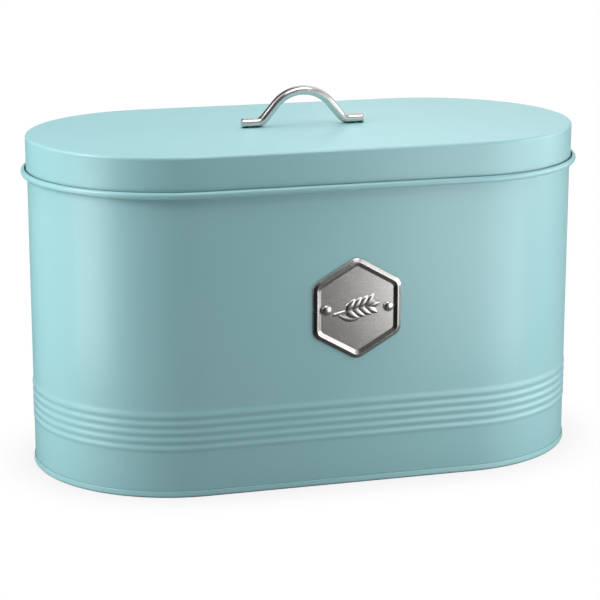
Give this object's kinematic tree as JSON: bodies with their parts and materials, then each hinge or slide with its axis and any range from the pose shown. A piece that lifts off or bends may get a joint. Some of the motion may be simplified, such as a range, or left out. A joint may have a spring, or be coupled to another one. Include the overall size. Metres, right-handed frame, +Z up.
{
  "type": "bread box",
  "caption": "Oval bread bin of painted sheet steel with a rolled gutter rim, pressed ridges, a six-sided metal plate on the front and a lift-off lid with a bent-wire handle.",
  "frame": {"origin": "middle of the foot, on the surface that the box stands on", "axes": "+X along the box towards its right-hand end, +Y towards the back, the plate on the front facing -Y, +Z up"},
  "size_m": [0.368, 0.192, 0.2411],
  "materials": {
    "aqua_paint": "smooth stoved paint, pale aqua, soft sheen",
    "satin_steel": "pressed stainless steel, satin field and bright border",
    "bright_steel": "drawn stainless steel, lightly polished",
    "zinc_steel": "zinc-plated steel"
  },
  "bodies": {
    "bin": {"body_wall": "aqua_paint", "base_pan": "aqua_paint", "badge_plate": "satin_steel", "badge_rivet_left": "bright_steel", "badge_rivet_right": "bright_steel"},
    "lid": {"lid_shell": "aqua_paint", "handle": "bright_steel", "handle_screw_left": "zinc_steel", "handle_screw_right": "zinc_steel", "handle_washer_left": "zinc_steel", "handle_washer_right": "zinc_steel"}
  },
  "joints": [
    {"name": "lid_lift", "type": "slide", "parent": "bin", "child": "lid", "axis": [0, 0, 1], "range_m": [0, 0.15]}
  ]
}
